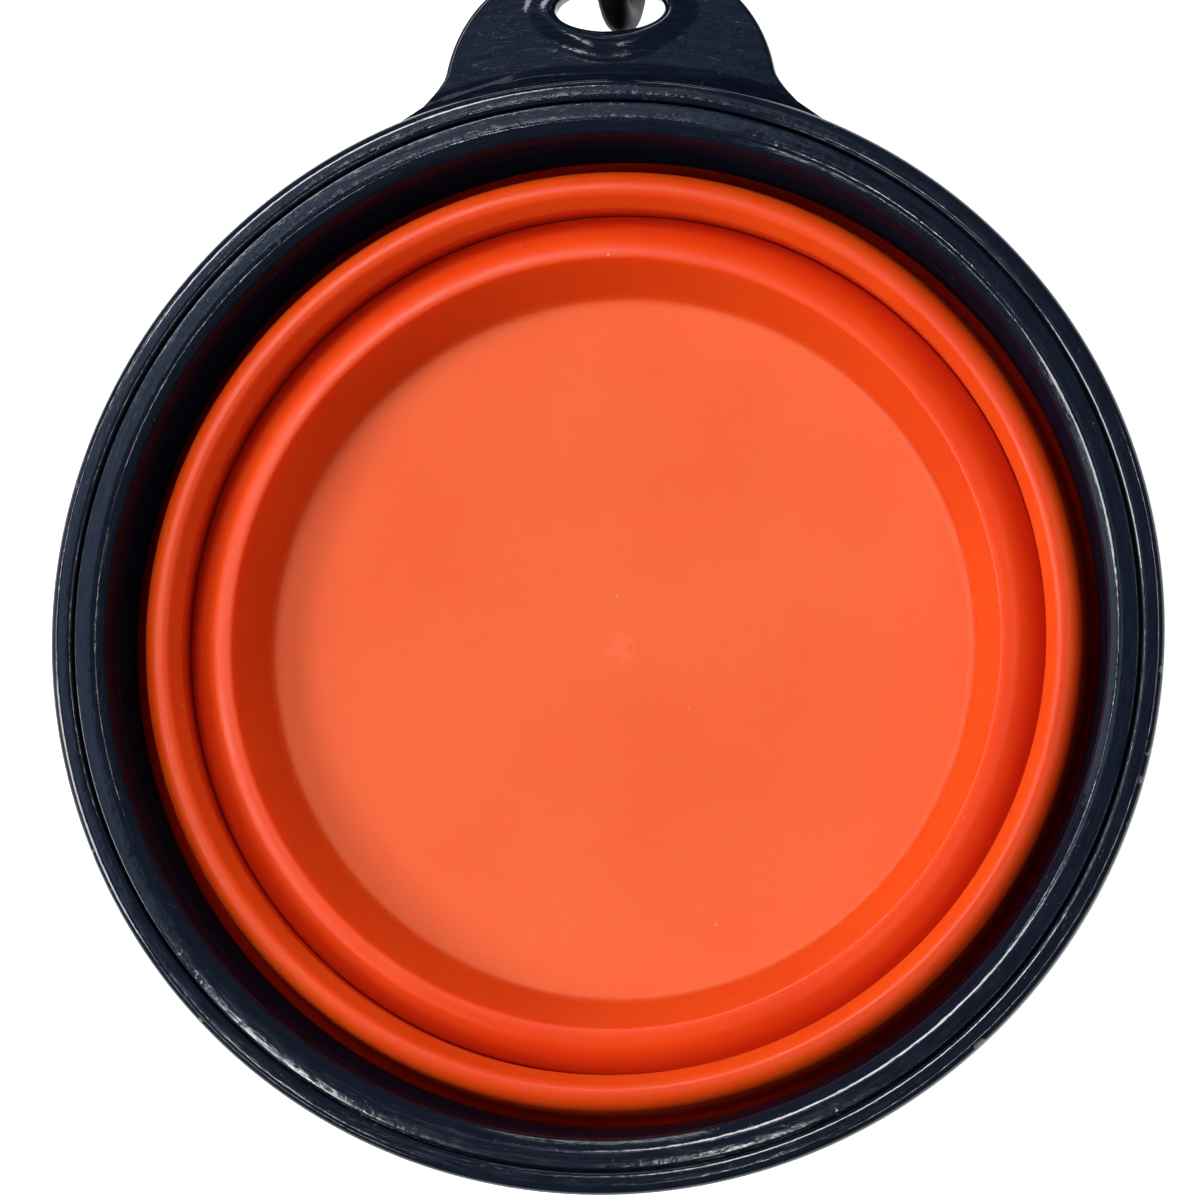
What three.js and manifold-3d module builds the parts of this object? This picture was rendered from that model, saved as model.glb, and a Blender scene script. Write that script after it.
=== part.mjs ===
// A collapsible pet bowl, folded flat: a soft stepped bowl in a hard rim with a hanger tab,
// and a carabiner through the slot of the tab.
// Millimetres, +Z up. The origin is the centre of the bowl's underside, and the tab points along +Y.
import * as THREE from "three";
import { mergeVertices } from "three/addons/utils/BufferGeometryUtils.js";
import Module from "manifold-3d";

const wasm = await Module();
wasm.setup();

// Rim: an outer frame with a lip, a skirt and a ledge, and a clamp ring that is pressed into it.
const RIM_DIAMETER = 130;
const RIM_HEIGHT = 14.8;
const LIP_HEIGHT = 5;
const SKIRT_WALL = 2;
const SKIRT_DRAFT = 0.6;
const RIM_EDGE_ROUND = 1;
const FRAME_BAND = 2.6;
const LEDGE_THICKNESS = 1.5;
const SEAM_GAP = 0.3;
const SEAM_ROUND = 0.3;
const SNAP_BEAD = 0.5;
const SNAP_BEAD_HEIGHT = 1;
const CLAMP_BAND = 2.2;
const CLAMP_THICKNESS = 2.2;
const CLAMP_BEVEL = 1.4;
const CLAMP_WALL = 1.6;
const CLAMP_WALL_RUN = 1.8;

// Hanger tab with its oval slot and the raised collar round the slot. Its sides lean by an angle in
// degrees.
const TAB_REACH = 19;
const TAB_END_RADIUS = 15.5;
const TAB_SIDE_LEAN = 30;
const TAB_FILLET = 16;
const TAB_DROP = 3.2;
const TAB_THICKNESS = 3;
const TAB_EDGE_BEVEL = 0.7;
const TAB_EDGE_RUN = 1.8;
const TAB_WEB = 1.1;
const SLOT_WIDTH = 13;
const SLOT_HEIGHT = 5.2;
const SLOT_INSET = 10.35;
const COLLAR_WIDTH = 2.2;
const COLLAR_HEIGHT = 0.7;

// Soft bowl. A run is how far a sloping wall leans inwards from one end to the other, and a slope is how
// far the edge of a crest or dome lies below its top.
const BASE_THICKNESS = 3.6;
const BASE_CORNER_ROUND = 1;
const CUP_DEPTH = 8.2;
const CUP_WALL = 2.4;
const CUP_WALL_RUN = 3.5;
const CREST_WIDTH = 4.7;
const CREST_FLAT = 1.5;
const CREST_SLOPE = 2.4;
const CREST_HEIGHT = 3.6;
const CREST_ROUND = 0.8;
const CRISP_ROUND = 0.25;
const LOWER_FOLD_HEIGHT = 8.2;
const UPPER_RING_HEIGHT = 12.4;
const UPPER_RING_FOOT = 2;
const UPPER_RING_RUN = 0.4;
const DOME_WIDTH = 4.3;
const DOME_HEIGHT = 2.6;
const DOME_CROWN = 2.8;
const DOME_ROUND = 1.3;
const DOME_SLOPE = 2.2;
const UPPER_FOLD_HEIGHT = 8.6;
const FOLD_WALL = 1;
const UPPER_FOLD_RUN = 0.9;
const LOWER_FOLD_RUN = 0.1;
const FOLD_SLIT = 0.5;
const FOLD_TOE_INSET = 0.6;
const FLANGE_THICKNESS = 1.6;
const FLANGE_LIP = 1.3;
const LIP_INSET = 0.4;
const SOFT_ROUND = 0.4;

// Carabiner and its gate. The rod stands a little off the slot's middle, by the offset to one side and by
// the sit towards the bowl.
const ROD_DIAMETER = 3.6;
const CARABINER_WIDTH = 32;
const CARABINER_LENGTH = 66;
const CARABINER_OFFSET = 0.8;
const CARABINER_SIT = 0.5;
const PIVOT_INSET = 3.2;
const TONGUE_THICKNESS = 1.4;
const TONGUE_HEIGHT = 2.6;
const TONGUE_REACH = 1.7;
const PIVOT_PIN_DIAMETER = 1.4;
const LATCH_PIN_DIAMETER = 1.2;
const PIN_INSET = 0.15;
const PLUNGER_DIAMETER = 1.5;
const PLUNGER_LENGTH = 2.2;
const SPRING_DIAMETER = 1.5;
const SPRING_WIRE = 0.3;
const SPRING_LENGTH = 8;
const SPRING_TURNS = 7;

// Clearances between pieces.
const SEAT_GAP = 0.2;
const JOIN_GAP = 0.3;
const WALL_GAP = 0.4;
const PIN_GAP = 0.2;
const TONGUE_GAP = 0.25;
const ROD_GAP = 0.3;
const BORE_GAP = 0.2;
const FLOOR_GAP = 0.2;

// Fineness of the facets.
const RING_SIDES = 64;
const ROUND_STEPS = 3;
const ROD_SIDES = 10;
const BEND_STEPS = 12;
const OUTLINE_STEPS = 10;
const CURL_STEPS = 8;
const WIRE_SIDES = 5;

// Heights of the folded bowl, from the floor up.
const floorTop = BASE_THICKNESS;
const crestTop = floorTop + CUP_DEPTH;
const valley = crestTop - LOWER_FOLD_HEIGHT;
const domeTop = valley + UPPER_RING_HEIGHT;
const foldFoot = domeTop - UPPER_FOLD_HEIGHT;
const rimBottom = foldFoot - LIP_INSET;
const rimTop = rimBottom + RIM_HEIGHT;
const ledgeTop = rimBottom + LEDGE_THICKNESS;
const flangeBottom = ledgeTop + SEAT_GAP;
const flangeTop = flangeBottom + FLANGE_THICKNESS;
const clampFoot = flangeTop + SEAT_GAP;
const lipBottom = rimTop - LIP_HEIGHT;
const shoulder = rimTop - CLAMP_THICKNESS - SEAT_GAP;
const snapHeight = rimTop - CLAMP_THICKNESS / 2;
const tabTop = rimTop - TAB_DROP;
const tabMiddle = tabTop - TAB_THICKNESS / 2;

// Radii of the rim, from the outside in.
const rimRadius = RIM_DIAMETER / 2;
const seamRadius = rimRadius - FRAME_BAND;
const clampRadius = seamRadius - SEAM_GAP;
const bandInner = clampRadius - CLAMP_BAND;
const wallTopRadius = bandInner - CLAMP_BEVEL;
const wallFootRadius = wallTopRadius - CLAMP_WALL_RUN;
const skirtInner = wallTopRadius + CLAMP_WALL + WALL_GAP;
const skirtOuter = skirtInner + SKIRT_WALL;
const lipInner = wallFootRadius - WALL_GAP;
const lipOuter = lipInner + FLANGE_LIP;
const ledgeInner = lipOuter + SEAT_GAP;

// Radii of the soft bowl, from the rim in to the base.
const upperFoldFoot = lipInner - JOIN_GAP;
const domeOuter = upperFoldFoot - UPPER_FOLD_RUN;
const domeInner = domeOuter - DOME_WIDTH;
const ringOuterTop = domeOuter - FOLD_WALL - FOLD_SLIT;
const ringInnerFoot = domeInner - UPPER_RING_RUN;
const ringOuterFoot = ringInnerFoot + UPPER_RING_FOOT;
const lowerFoldFoot = ringInnerFoot - JOIN_GAP;
const crestOuter = lowerFoldFoot - LOWER_FOLD_RUN;
const crestInner = crestOuter - CREST_WIDTH;
const baseRadius = crestInner - CUP_WALL_RUN;
const cupOuterTop = crestInner + CUP_WALL - (CUP_WALL_RUN * CREST_HEIGHT) / CUP_DEPTH;

// A closed outline of the points [x, y, round]: each corner with a round becomes an arc, which is
// limited to the room that the sides beside it leave.
function roundedOutline(corners) {
  const points = [];
  corners.forEach(([x, y, round = 0], i) => {
    const here = new THREE.Vector2(x, y);
    const before = new THREE.Vector2(...corners.at(i - 1).slice(0, 2));
    const after = new THREE.Vector2(...corners[(i + 1) % corners.length].slice(0, 2));
    const toBefore = before.clone().sub(here);
    const toAfter = after.clone().sub(here);
    const half = Math.abs(toBefore.angleTo(toAfter)) / 2;
    const room = Math.min(toBefore.length(), toAfter.length()) / 2;
    const cut = Math.min(round / Math.tan(half), room);
    if (!(cut > 0)) {
      points.push(here);
      return;
    }
    const radius = cut * Math.tan(half);
    toBefore.normalize();
    toAfter.normalize();
    const inward = toBefore.clone().add(toAfter).normalize();
    const centre = here.clone().addScaledVector(inward, radius / Math.sin(half));
    const start = here.clone().addScaledVector(toBefore, cut).sub(centre);
    const end = here.clone().addScaledVector(toAfter, cut).sub(centre);
    const sweep = Math.atan2(start.cross(end), start.dot(end));
    for (let k = 0; k <= ROUND_STEPS; k++) {
      const turned = start.clone().rotateAround(new THREE.Vector2(), (sweep * k) / ROUND_STEPS);
      points.push(turned.add(centre));
    }
  });
  return points;
}

// A ring turned round the bowl's axis from an anticlockwise outline of [radius, height, round].
function turnedRing(corners) {
  const outline = roundedOutline(corners);
  return new THREE.LatheGeometry([...outline, outline[0]], RING_SIDES).rotateX(Math.PI / 2);
}

// A solid disc-like piece turned round the axis: its outline starts and ends on the axis.
function turnedDisc(corners) {
  return new THREE.LatheGeometry(roundedOutline(corners), RING_SIDES).rotateX(Math.PI / 2);
}

// A plate of an outline in the XY plane, from height bottom. Its edges slope down by bevel over run.
function plate(outline, bottom, thickness, bevel = 0, run = bevel) {
  const geometry = new THREE.ExtrudeGeometry(new THREE.Shape(outline), {
    depth: thickness - 2 * bevel,
    bevelEnabled: bevel > 0,
    bevelThickness: bevel,
    bevelSize: run,
    bevelOffset: -run,
    bevelSegments: 1,
    curveSegments: OUTLINE_STEPS,
  });
  return geometry.translate(0, 0, bottom + bevel);
}

// Points of an ellipse about the slot's centre.
function oval(width, height) {
  const curve = new THREE.EllipseCurve(0, slotCentre, width / 2, height / 2, 0, 2 * Math.PI);
  return curve.getPoints(3 * OUTLINE_STEPS).slice(0, -1);
}

// Geometry to solid and back, for joins and cuts.
function solid(geometry) {
  const bare = geometry.clone();
  bare.deleteAttribute("normal");
  bare.deleteAttribute("uv");
  const merged = mergeVertices(bare);
  return new wasm.Manifold(
    new wasm.Mesh({
      numProp: 3,
      vertProperties: new Float32Array(merged.attributes.position.array),
      triVerts: new Uint32Array(merged.index.array),
    }),
  );
}

function geometryOf(body) {
  const mesh = body.getMesh();
  const geometry = new THREE.BufferGeometry();
  geometry.setAttribute("position", new THREE.BufferAttribute(mesh.vertProperties, 3));
  geometry.setIndex(new THREE.BufferAttribute(mesh.triVerts, 1));
  const faceted = geometry.toNonIndexed();
  faceted.computeVertexNormals();
  return faceted;
}

// Rim frame: the turned lip, skirt and ledge with the snap groove, and the tab.
const tabEnd = rimRadius + TAB_REACH;
const slotCentre = tabEnd - SLOT_INSET;

function frameRing() {
  return turnedRing([
    [ledgeInner, rimBottom],
    [skirtOuter - SKIRT_DRAFT, rimBottom, RIM_EDGE_ROUND],
    [skirtOuter, lipBottom],
    [rimRadius, lipBottom, RIM_EDGE_ROUND],
    [rimRadius, rimTop, RIM_EDGE_ROUND],
    [seamRadius, rimTop, SEAM_ROUND],
    [seamRadius, snapHeight + SNAP_BEAD_HEIGHT / 2],
    [seamRadius + SNAP_BEAD, snapHeight],
    [seamRadius, snapHeight - SNAP_BEAD_HEIGHT / 2],
    [seamRadius, shoulder],
    [skirtInner, shoulder],
    [skirtInner, ledgeTop],
    [ledgeInner, ledgeTop],
  ]);
}

// The tab's outline: a round end, leaning sides, a hollow fillet from each side to the rim, and an edge
// inside the rim.
function tabOutline() {
  const lean = THREE.MathUtils.degToRad(TAB_SIDE_LEAN);
  const endCentre = tabEnd - TAB_END_RADIUS;
  const offSide = TAB_END_RADIUS + endCentre * Math.sin(lean) + TAB_FILLET;
  const alongSide = Math.sqrt((rimRadius + TAB_FILLET) ** 2 - offSide ** 2);
  const filletX = offSide * Math.cos(lean) - alongSide * Math.sin(lean);
  const filletY = offSide * Math.sin(lean) + alongSide * Math.cos(lean);
  const rimAngle = Math.atan2(filletY, filletX);
  const inside = seamRadius - TAB_EDGE_RUN;
  const shape = new THREE.Path();
  shape.absarc(0, 0, inside, Math.PI - rimAngle, rimAngle, true);
  shape.absarc(filletX, filletY, TAB_FILLET, rimAngle + Math.PI, lean + Math.PI, true);
  shape.absarc(0, endCentre, TAB_END_RADIUS, lean, Math.PI - lean, false);
  shape.absarc(-filletX, filletY, TAB_FILLET, -lean, -rimAngle, true);
  return shape.getPoints(OUTLINE_STEPS);
}

// The web: a hollow corner between the tab's top and the rim's wall, as wide as the tab.
function tabWeb() {
  const foot = tabTop - TAB_EDGE_BEVEL;
  const inWall = rimRadius - FRAME_BAND / 2;
  const ring = turnedRing([
    [inWall, foot],
    [rimRadius + 2 * TAB_WEB, foot],
    [rimRadius + 2 * TAB_WEB, tabTop],
    [rimRadius, tabTop, TAB_WEB],
    [rimRadius, tabTop + 2 * TAB_WEB],
    [inWall, tabTop + 2 * TAB_WEB],
  ]);
  return solid(ring).intersect(solid(plate(tabOutline(), foot, RIM_HEIGHT)));
}

function rimFrame() {
  const tabBottom = tabTop - TAB_THICKNESS;
  const tab = solid(plate(tabOutline(), tabBottom, TAB_THICKNESS, TAB_EDGE_BEVEL, TAB_EDGE_RUN));
  const mouth = turnedDisc([
    [0, ledgeTop],
    [skirtInner, ledgeTop],
    [skirtInner, shoulder],
    [seamRadius, shoulder],
    [seamRadius, rimTop],
    [0, rimTop],
  ]);
  const collarDepth = TAB_THICKNESS + 2 * COLLAR_HEIGHT;
  const collarOutline = oval(SLOT_WIDTH + 2 * COLLAR_WIDTH, SLOT_HEIGHT + 2 * COLLAR_WIDTH);
  const collar = solid(plate(collarOutline, tabMiddle - collarDepth / 2, collarDepth, COLLAR_HEIGHT));
  const slotDepth = 2 * collarDepth;
  const slot = solid(plate(oval(SLOT_WIDTH, SLOT_HEIGHT), tabMiddle - slotDepth / 2, slotDepth));
  const hanger = tab.add(tabWeb()).subtract(solid(mouth)).add(collar).subtract(slot);
  return geometryOf(solid(frameRing()).add(hanger));
}

function rimClampRing() {
  return turnedRing([
    [clampRadius, rimTop - CLAMP_THICKNESS],
    [clampRadius, snapHeight - SNAP_BEAD_HEIGHT / 2],
    [clampRadius + SNAP_BEAD, snapHeight],
    [clampRadius, snapHeight + SNAP_BEAD_HEIGHT / 2],
    [clampRadius, rimTop, SEAM_ROUND],
    [bandInner, rimTop, RIM_EDGE_ROUND],
    [wallTopRadius, rimTop - CLAMP_BEVEL, RIM_EDGE_ROUND],
    [wallFootRadius, clampFoot],
    [wallFootRadius + CLAMP_WALL, clampFoot],
    [wallTopRadius + CLAMP_WALL, rimTop - CLAMP_THICKNESS],
  ]);
}

// Soft bowl: the flange that the rim clamps, then each wall and tier inwards to the base.
function bowlFlange() {
  return turnedRing([
    [lipInner, foldFoot, SOFT_ROUND],
    [lipOuter, foldFoot, SOFT_ROUND],
    [lipOuter, flangeBottom],
    [skirtInner - SEAT_GAP, flangeBottom],
    [skirtInner - SEAT_GAP, flangeTop],
    [lipInner, flangeTop],
  ]);
}

function upperFoldWall() {
  const top = domeTop - DOME_HEIGHT - JOIN_GAP;
  return turnedRing([
    [upperFoldFoot - FOLD_WALL, foldFoot, SOFT_ROUND],
    [upperFoldFoot, foldFoot, SOFT_ROUND],
    [domeOuter, top],
    [domeOuter - FOLD_WALL, top],
  ]);
}

function bowlUpperRing() {
  const foot = valley + JOIN_GAP;
  const under = domeTop - DOME_HEIGHT;
  return turnedRing([
    [ringInnerFoot, foot, SOFT_ROUND],
    [ringOuterFoot, foot, SOFT_ROUND],
    [ringOuterTop, under],
    [domeOuter, under],
    [domeOuter, domeTop, DOME_ROUND],
    [domeOuter - DOME_CROWN, domeTop, DOME_ROUND],
    [domeInner, domeTop - DOME_SLOPE, CRISP_ROUND],
  ]);
}

function lowerFoldWall() {
  const top = crestTop - CREST_HEIGHT - JOIN_GAP;
  const toe = ringOuterFoot - FOLD_TOE_INSET;
  return turnedRing([
    [lowerFoldFoot - FOLD_WALL, valley - FOLD_WALL, SOFT_ROUND],
    [toe, valley - FOLD_WALL, SOFT_ROUND],
    [toe, valley],
    [lowerFoldFoot, valley],
    [crestOuter, top],
    [crestOuter - FOLD_WALL, top],
  ]);
}

function bowlBaseCup() {
  const under = crestTop - CREST_HEIGHT;
  return turnedDisc([
    [0, 0],
    [baseRadius + CUP_WALL, 0, BASE_CORNER_ROUND],
    [cupOuterTop, under],
    [crestOuter, under],
    [crestOuter, crestTop - CREST_SLOPE, CRISP_ROUND],
    [crestInner + CREST_FLAT, crestTop, CREST_ROUND],
    [crestInner, crestTop, CRISP_ROUND],
    [baseRadius, floorTop, BASE_CORNER_ROUND],
    [0, floorTop],
  ]);
}

// Carabiner, in a frame of its own: the loop lies in the YZ plane, and the origin is the centre of the
// bend that passes through the slot. The gate closes the upper side.
const rodRadius = ROD_DIAMETER / 2;
const bendRadius = CARABINER_WIDTH / 2 - rodRadius;
const sideLength = CARABINER_LENGTH - CARABINER_WIDTH;
const pivotY = PIVOT_INSET;
const latchY = sideLength - PIVOT_INSET;
const rodEnd = rodRadius + ROD_GAP;
const slotHalf = TONGUE_THICKNESS / 2 + TONGUE_GAP;
const forkDepth = Math.hypot(TONGUE_REACH, TONGUE_HEIGHT / 2) + TONGUE_GAP;

// Centre line of the rod, from the hinge end round the loop to the nose.
class LoopCurve extends THREE.Curve {
  constructor() {
    super();
    const hinge = pivotY - rodEnd;
    const nose = sideLength - (latchY + rodEnd);
    const bend = Math.PI * bendRadius;
    this.runs = [hinge, bend, sideLength, bend, nose];
    this.total = this.runs.reduce((sum, run) => sum + run);
  }

  getPoint(t) {
    const [hinge, bend, side] = this.runs;
    let left = t * this.total;
    if (left <= hinge) return new THREE.Vector3(0, hinge - left, bendRadius);
    left -= hinge;
    if (left <= bend) return this.onBend(0, Math.PI / 2 + left / bendRadius);
    left -= bend;
    if (left <= side) return new THREE.Vector3(0, left, -bendRadius);
    left -= side;
    if (left <= bend) return this.onBend(sideLength, left / bendRadius - Math.PI / 2);
    return new THREE.Vector3(0, sideLength - (left - bend), bendRadius);
  }

  onBend(centre, angle) {
    const y = centre + bendRadius * Math.cos(angle);
    return new THREE.Vector3(0, y, bendRadius * Math.sin(angle));
  }
}

// A regular outline of a round section, and a tube of it along a curve.
function roundSection(radius, sides) {
  const corner = (_, i) => {
    const angle = (2 * Math.PI * (i + 0.5)) / sides;
    return new THREE.Vector2(radius * Math.cos(angle), radius * Math.sin(angle));
  };
  return new THREE.Shape(Array.from({ length: sides }, corner));
}

function tube(curve, radius, sides, steps) {
  const section = roundSection(radius, sides);
  return new THREE.ExtrudeGeometry(section, { steps, bevelEnabled: false, extrudePath: curve });
}

// A round bar along X or Y, and a block, each centred on a point of the carabiner's frame.
function barAcross(diameter, length, y, z) {
  const bar = new THREE.CylinderGeometry(diameter / 2, diameter / 2, length, ROD_SIDES);
  return bar.rotateZ(Math.PI / 2).translate(0, y, z);
}

function barAlong(diameter, from, to, z) {
  const bar = new THREE.CylinderGeometry(diameter / 2, diameter / 2, to - from, ROD_SIDES);
  return bar.translate(0, (from + to) / 2, z);
}

function block(width, from, to, bottom, top) {
  const box = new THREE.BoxGeometry(width, to - from, top - bottom);
  return box.translate(0, (from + to) / 2, (bottom + top) / 2);
}

function carabinerBody() {
  const curve = new LoopCurve();
  const steps = Math.round((2 * BEND_STEPS * curve.total) / (2 * Math.PI * bendRadius));
  const low = bendRadius - TONGUE_HEIGHT / 2;
  const high = bendRadius + TONGUE_HEIGHT / 2;
  const hingeRoot = pivotY - rodEnd - rodRadius;
  const noseRoot = latchY + rodEnd + rodRadius;
  const hingeTongue = block(TONGUE_THICKNESS, hingeRoot, pivotY + TONGUE_REACH, low, high);
  const noseTongue = block(TONGUE_THICKNESS, latchY - TONGUE_REACH, noseRoot, low, high);
  const pivotHole = PIVOT_PIN_DIAMETER + 2 * PIN_GAP;
  const latchHalf = LATCH_PIN_DIAMETER / 2 + PIN_GAP;
  const notchTop = bendRadius + latchHalf;
  const notch = block(ROD_DIAMETER, latchY - latchHalf, latchY + latchHalf, low - PIN_GAP, notchTop);
  const body = solid(tube(curve, rodRadius, ROD_SIDES, steps))
    .add(solid(hingeTongue))
    .add(solid(noseTongue))
    .subtract(solid(barAcross(pivotHole, ROD_DIAMETER, pivotY, bendRadius)))
    .subtract(solid(notch));
  return geometryOf(body);
}

// The gate: a rod with round ends, forked at both ends over the tongues, drilled for the pins and
// bored for the spring.
function carabinerGate() {
  const start = pivotY - rodRadius;
  const end = latchY + rodRadius;
  const rod = solid(barAlong(ROD_DIAMETER, start, end, bendRadius));
  const middle = solid(block(ROD_DIAMETER, pivotY, latchY, bendRadius - rodRadius, bendRadius + rodRadius));
  const hingeEnd = solid(barAcross(ROD_DIAMETER, ROD_DIAMETER, pivotY, bendRadius));
  const noseEnd = solid(barAcross(ROD_DIAMETER, ROD_DIAMETER, latchY, bendRadius));
  const below = bendRadius - ROD_DIAMETER;
  const above = bendRadius + ROD_DIAMETER;
  const hingeFork = block(2 * slotHalf, start - ROD_GAP, pivotY + forkDepth, below, above);
  const noseFork = block(2 * slotHalf, latchY - forkDepth, end + ROD_GAP, below, above);
  const pivotHole = barAcross(PIVOT_PIN_DIAMETER + 2 * PIN_GAP, 2 * ROD_DIAMETER, pivotY, bendRadius);
  const latchHole = barAcross(LATCH_PIN_DIAMETER + 2 * PIN_GAP, 2 * ROD_DIAMETER, latchY, bendRadius);
  const bore = barAlong(boreDiameter, pivotY + forkDepth - BORE_GAP, boreEnd, bendRadius);
  const gate = rod
    .intersect(middle.add(hingeEnd).add(noseEnd))
    .subtract(solid(hingeFork))
    .subtract(solid(noseFork))
    .subtract(solid(pivotHole))
    .subtract(solid(latchHole))
    .subtract(solid(bore));
  return geometryOf(gate);
}

// Plunger and spring lie in the gate's bore, the plunger at the fork.
const boreDiameter = Math.max(PLUNGER_DIAMETER, SPRING_DIAMETER) + 2 * BORE_GAP;
const plungerStart = pivotY + forkDepth;
const springStart = plungerStart + PLUNGER_LENGTH + BORE_GAP;
const boreEnd = springStart + SPRING_LENGTH + BORE_GAP;

class SpringCurve extends THREE.Curve {
  getPoint(t) {
    const radius = (SPRING_DIAMETER - SPRING_WIRE) / 2;
    const angle = 2 * Math.PI * SPRING_TURNS * t;
    const y = springStart + SPRING_WIRE + t * (SPRING_LENGTH - 2 * SPRING_WIRE);
    return new THREE.Vector3(radius * Math.cos(angle), y, bendRadius + radius * Math.sin(angle));
  }
}

// The least gap between neighbouring turns, from points one turn apart and near it.
function leastSpringGap(curve) {
  const count = SPRING_TURNS * CURL_STEPS * 4;
  const points = curve.getPoints(count);
  const nearTurn = CURL_STEPS * 2;
  let least = Infinity;
  for (let i = 0; i <= count; i++) {
    for (let j = i + nearTurn; j <= count; j++) {
      least = Math.min(least, points[i].distanceTo(points[j]));
    }
  }
  return least - SPRING_WIRE;
}

function gateSpring() {
  const curve = new SpringCurve();
  console.log(`gate_spring: least gap to itself ${leastSpringGap(curve).toFixed(2)} mm`);
  return tube(curve, SPRING_WIRE / 2, WIRE_SIDES, SPRING_TURNS * CURL_STEPS);
}

function gatePlunger() {
  return barAlong(PLUNGER_DIAMETER, plungerStart, plungerStart + PLUNGER_LENGTH, bendRadius);
}

function gatePivotPin() {
  return barAcross(PIVOT_PIN_DIAMETER, ROD_DIAMETER - 2 * PIN_INSET, pivotY, bendRadius);
}

function gateLatchPin() {
  return barAcross(LATCH_PIN_DIAMETER, ROD_DIAMETER - 2 * PIN_INSET, latchY, bendRadius);
}

// Finishes: glossy navy plastic, orange silicone, black coated metal and bright steel.
const finish = (color, roughness, metalness) =>
  new THREE.MeshStandardMaterial({ color, roughness, metalness });
const navyPlastic = () => finish(0x1b2130, 0.25, 0);
const orangeSilicone = () => finish(0xee5a25, 0.5, 0);
const blackMetal = () => finish(0x0c0c0e, 0.35, 0.6);
const brightSteel = () => finish(0xb8bcc2, 0.3, 1);

function piece(name, geometry, material) {
  const mesh = new THREE.Mesh(geometry, material);
  mesh.name = name;
  return mesh;
}

const bowl = new THREE.Group();
bowl.add(
  piece("rim_frame", rimFrame(), navyPlastic()),
  piece("rim_clamp_ring", rimClampRing(), navyPlastic()),
  piece("bowl_flange", bowlFlange(), orangeSilicone()),
  piece("upper_fold_wall", upperFoldWall(), orangeSilicone()),
  piece("bowl_upper_ring", bowlUpperRing(), orangeSilicone()),
  piece("lower_fold_wall", lowerFoldWall(), orangeSilicone()),
  piece("bowl_base_cup", bowlBaseCup(), orangeSilicone()),
);

// The carabiner stands on its spine, and its bend passes through the slot, on the bowl's side of the
// slot's middle.
const standHeight = CARABINER_WIDTH / 2 + FLOOR_GAP;
const bendReach = Math.sqrt(bendRadius ** 2 - (tabMiddle - standHeight) ** 2);
const carabiner = new THREE.Group();
carabiner.position.set(CARABINER_OFFSET, slotCentre - CARABINER_SIT + bendReach, standHeight);
carabiner.add(
  piece("carabiner_body", carabinerBody(), blackMetal()),
  piece("carabiner_gate", carabinerGate(), blackMetal()),
  piece("gate_pivot_pin", gatePivotPin(), brightSteel()),
  piece("gate_latch_pin", gateLatchPin(), brightSteel()),
  piece("gate_spring", gateSpring(), brightSteel()),
  piece("gate_plunger", gatePlunger(), brightSteel()),
);
bowl.add(carabiner);

export default bowl;
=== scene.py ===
"""Dressed model of a soft travel bowl, folded flat in its hard rim, with the carabiner in its hanger tab.

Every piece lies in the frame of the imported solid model: metres, +Z up, the tab along +Y. Sizes in the
classes of the pieces are in millimetres, as on a drawing, and are scaled once, when a mesh is traced.
Places in the finishes are in metres, as the Object coordinates are.
"""
import functools
import logging
import math
from dataclasses import dataclass, field, replace
from enum import Enum
from typing import Callable, Sequence

import bmesh
import bpy
import numpy as np
from mathutils import Matrix, Vector


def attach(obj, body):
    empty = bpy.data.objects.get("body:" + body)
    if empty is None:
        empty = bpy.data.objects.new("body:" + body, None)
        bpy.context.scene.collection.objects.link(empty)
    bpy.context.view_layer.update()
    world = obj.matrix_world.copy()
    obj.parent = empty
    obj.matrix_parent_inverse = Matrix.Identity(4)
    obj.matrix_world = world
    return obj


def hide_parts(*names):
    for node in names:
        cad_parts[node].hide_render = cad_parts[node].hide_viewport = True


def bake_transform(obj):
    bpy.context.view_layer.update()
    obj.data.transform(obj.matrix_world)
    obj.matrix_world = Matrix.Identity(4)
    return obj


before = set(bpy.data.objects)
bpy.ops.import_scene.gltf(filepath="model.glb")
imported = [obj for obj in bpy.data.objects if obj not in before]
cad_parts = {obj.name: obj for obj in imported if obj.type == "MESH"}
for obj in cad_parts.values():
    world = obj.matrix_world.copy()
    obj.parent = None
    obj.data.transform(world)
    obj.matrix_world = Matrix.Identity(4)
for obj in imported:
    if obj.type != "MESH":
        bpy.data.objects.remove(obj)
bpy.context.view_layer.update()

MM = 0.001
MERGE = 1e-6
AT_CORNER = 1e-7
TURNED_ANGLE = 50.0
ROD_ANGLE = 40.0
LOG = logging.getLogger("travel_bowl")

Piece = bpy.types.Object
Socket = bpy.types.NodeSocket
Material = bpy.types.Material
Colour = tuple[float, float, float, float]
Span = tuple[float, float]
Triple = tuple[float, float, float]
FLAT: Triple = (1.0, 1.0, 0.0)


class Body(Enum):
    """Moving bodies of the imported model."""

    RIM = "rim"
    UPPER_RING = "upper_ring"
    BASE_CUP = "base_cup"
    CARABINER = "carabiner"
    GATE = "gate"


class Slot(Enum):
    """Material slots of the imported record."""

    RIM_PLASTIC = "rim_plastic"
    SILICONE = "bowl_silicone"
    ROD = "carabiner_metal"
    STEEL = "pin_steel"


class Ends(Enum):
    """How a traced profile ends before it is turned."""

    JOINED = "joined"
    ON_AXIS = "on_axis"


class Axis(Enum):
    """Which way a bar lies."""

    X = 0
    Y = 1


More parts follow.
